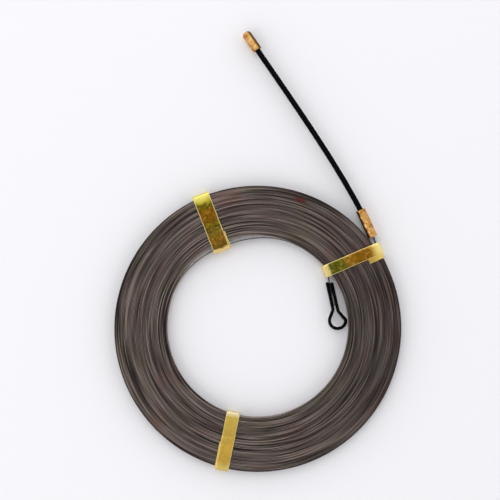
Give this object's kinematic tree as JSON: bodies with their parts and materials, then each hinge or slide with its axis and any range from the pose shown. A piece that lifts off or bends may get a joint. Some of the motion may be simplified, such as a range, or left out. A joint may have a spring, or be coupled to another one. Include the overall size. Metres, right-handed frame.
{
  "type": "fish tape",
  "caption": "Flat steel fish tape wound into a bare coil, held by brass straps, with a flexible black leader in a crimped ferrule and a pear-shaped pulling eye.",
  "frame": {"origin": "on the coil's axis, in the plane that the coil rests on", "axes": "+Z along the coil's axis, up from the resting plane; +Y towards the leader's nose; the coil lies in the XY plane"},
  "size_m": [0.2494, 0.3835, 0.0084],
  "materials": {
    "blued_spring_steel": "rolled and blued, satin, oil-stained brown",
    "brass_strip": "rolled strip, bright with olive and brown tarnish",
    "plated_brass": "turned and crimped, copper-gold",
    "black_nylon": "extruded, matt",
    "steel_rope": "stranded wire",
    "black_wire": "black lacquer"
  },
  "bodies": {
    "coil": {"steel_tape": "blued_spring_steel", "strap_side": "brass_strip", "ferrule": "plated_brass", "leader_sheath_root": "black_nylon", "leader_core_root": "steel_rope"},
    "top_strap": {"strap_top": "brass_strip"},
    "bottom_strap": {"strap_bottom": "brass_strip"},
    "eye": {"tape_tail": "blued_spring_steel", "pulling_eye": "black_wire"},
    "link_1": {"leader_sheath_1": "black_nylon", "leader_core_1": "steel_rope"},
    "link_2": {"leader_sheath_2": "black_nylon", "leader_core_2": "steel_rope"},
    "link_3": {"leader_sheath_3": "black_nylon", "leader_core_3": "steel_rope"},
    "link_4": {"leader_sheath_4": "black_nylon", "leader_core_4": "steel_rope"},
    "link_5": {"leader_sheath_5": "black_nylon", "leader_core_5": "steel_rope"},
    "link_6": {"leader_sheath_6": "black_nylon", "leader_core_6": "steel_rope", "leader_nose": "plated_brass"}
  },
  "joints": [
    {"name": "top_strap_slide", "type": "hinge", "parent": "coil", "child": "top_strap", "pos_m": [0, 0, 0.0042], "axis": [0, 0, 1], "range_deg": [-48, 60]},
    {"name": "bottom_strap_slide", "type": "hinge", "parent": "coil", "child": "bottom_strap", "pos_m": [0, 0, 0.0042], "axis": [0, 0, 1], "range_deg": [-60, 60]},
    {"name": "eye_flex", "type": "hinge", "parent": "coil", "child": "eye", "pos_m": [0.06191, 0.04278, 0.0042], "axis": [0, 0, 1], "range_deg": [-25, 0], "stiffness_Nm_per_rad": 0.75},
    {"name": "leader_bend_1", "type": "hinge", "parent": "coil", "child": "link_1", "pos_m": [0.08907, 0.10406, 0.0042], "axis": [0, 0, 1], "range_deg": [-20, 15], "stiffness_Nm_per_rad": 1.2},
    {"name": "leader_lift_1", "type": "hinge", "parent": "link_1", "child": "link_2", "pos_m": [0.07571, 0.12796, 0.0042], "axis": [0.8507, 0.5256, 0], "range_deg": [0, 20], "stiffness_Nm_per_rad": 1.2},
    {"name": "leader_bend_2", "type": "hinge", "parent": "link_2", "child": "link_3", "pos_m": [0.06132, 0.15126, 0.0042], "axis": [0, 0, 1], "range_deg": [-20, 15], "stiffness_Nm_per_rad": 1.2},
    {"name": "leader_lift_2", "type": "hinge", "parent": "link_3", "child": "link_4", "pos_m": [0.04635, 0.17419, 0.0042], "axis": [0.8295, 0.5585, 0], "range_deg": [0, 20], "stiffness_Nm_per_rad": 1.2},
    {"name": "leader_bend_3", "type": "hinge", "parent": "link_4", "child": "link_5", "pos_m": [0.03105, 0.1969, 0.0042], "axis": [0, 0, 1], "range_deg": [-20, 15], "stiffness_Nm_per_rad": 1.2},
    {"name": "leader_lift_3", "type": "hinge", "parent": "link_5", "child": "link_6", "pos_m": [0.01558, 0.21949, 0.0042], "axis": [0.8223, 0.569, 0], "range_deg": [0, 20], "stiffness_Nm_per_rad": 1.2}
  ],
  "couplings": [
    {"joint": "leader_bend_2", "follows": "leader_bend_1", "ratio": 1},
    {"joint": "leader_lift_2", "follows": "leader_lift_1", "ratio": 1},
    {"joint": "leader_bend_3", "follows": "leader_bend_1", "ratio": 1},
    {"joint": "leader_lift_3", "follows": "leader_lift_1", "ratio": 1}
  ]
}
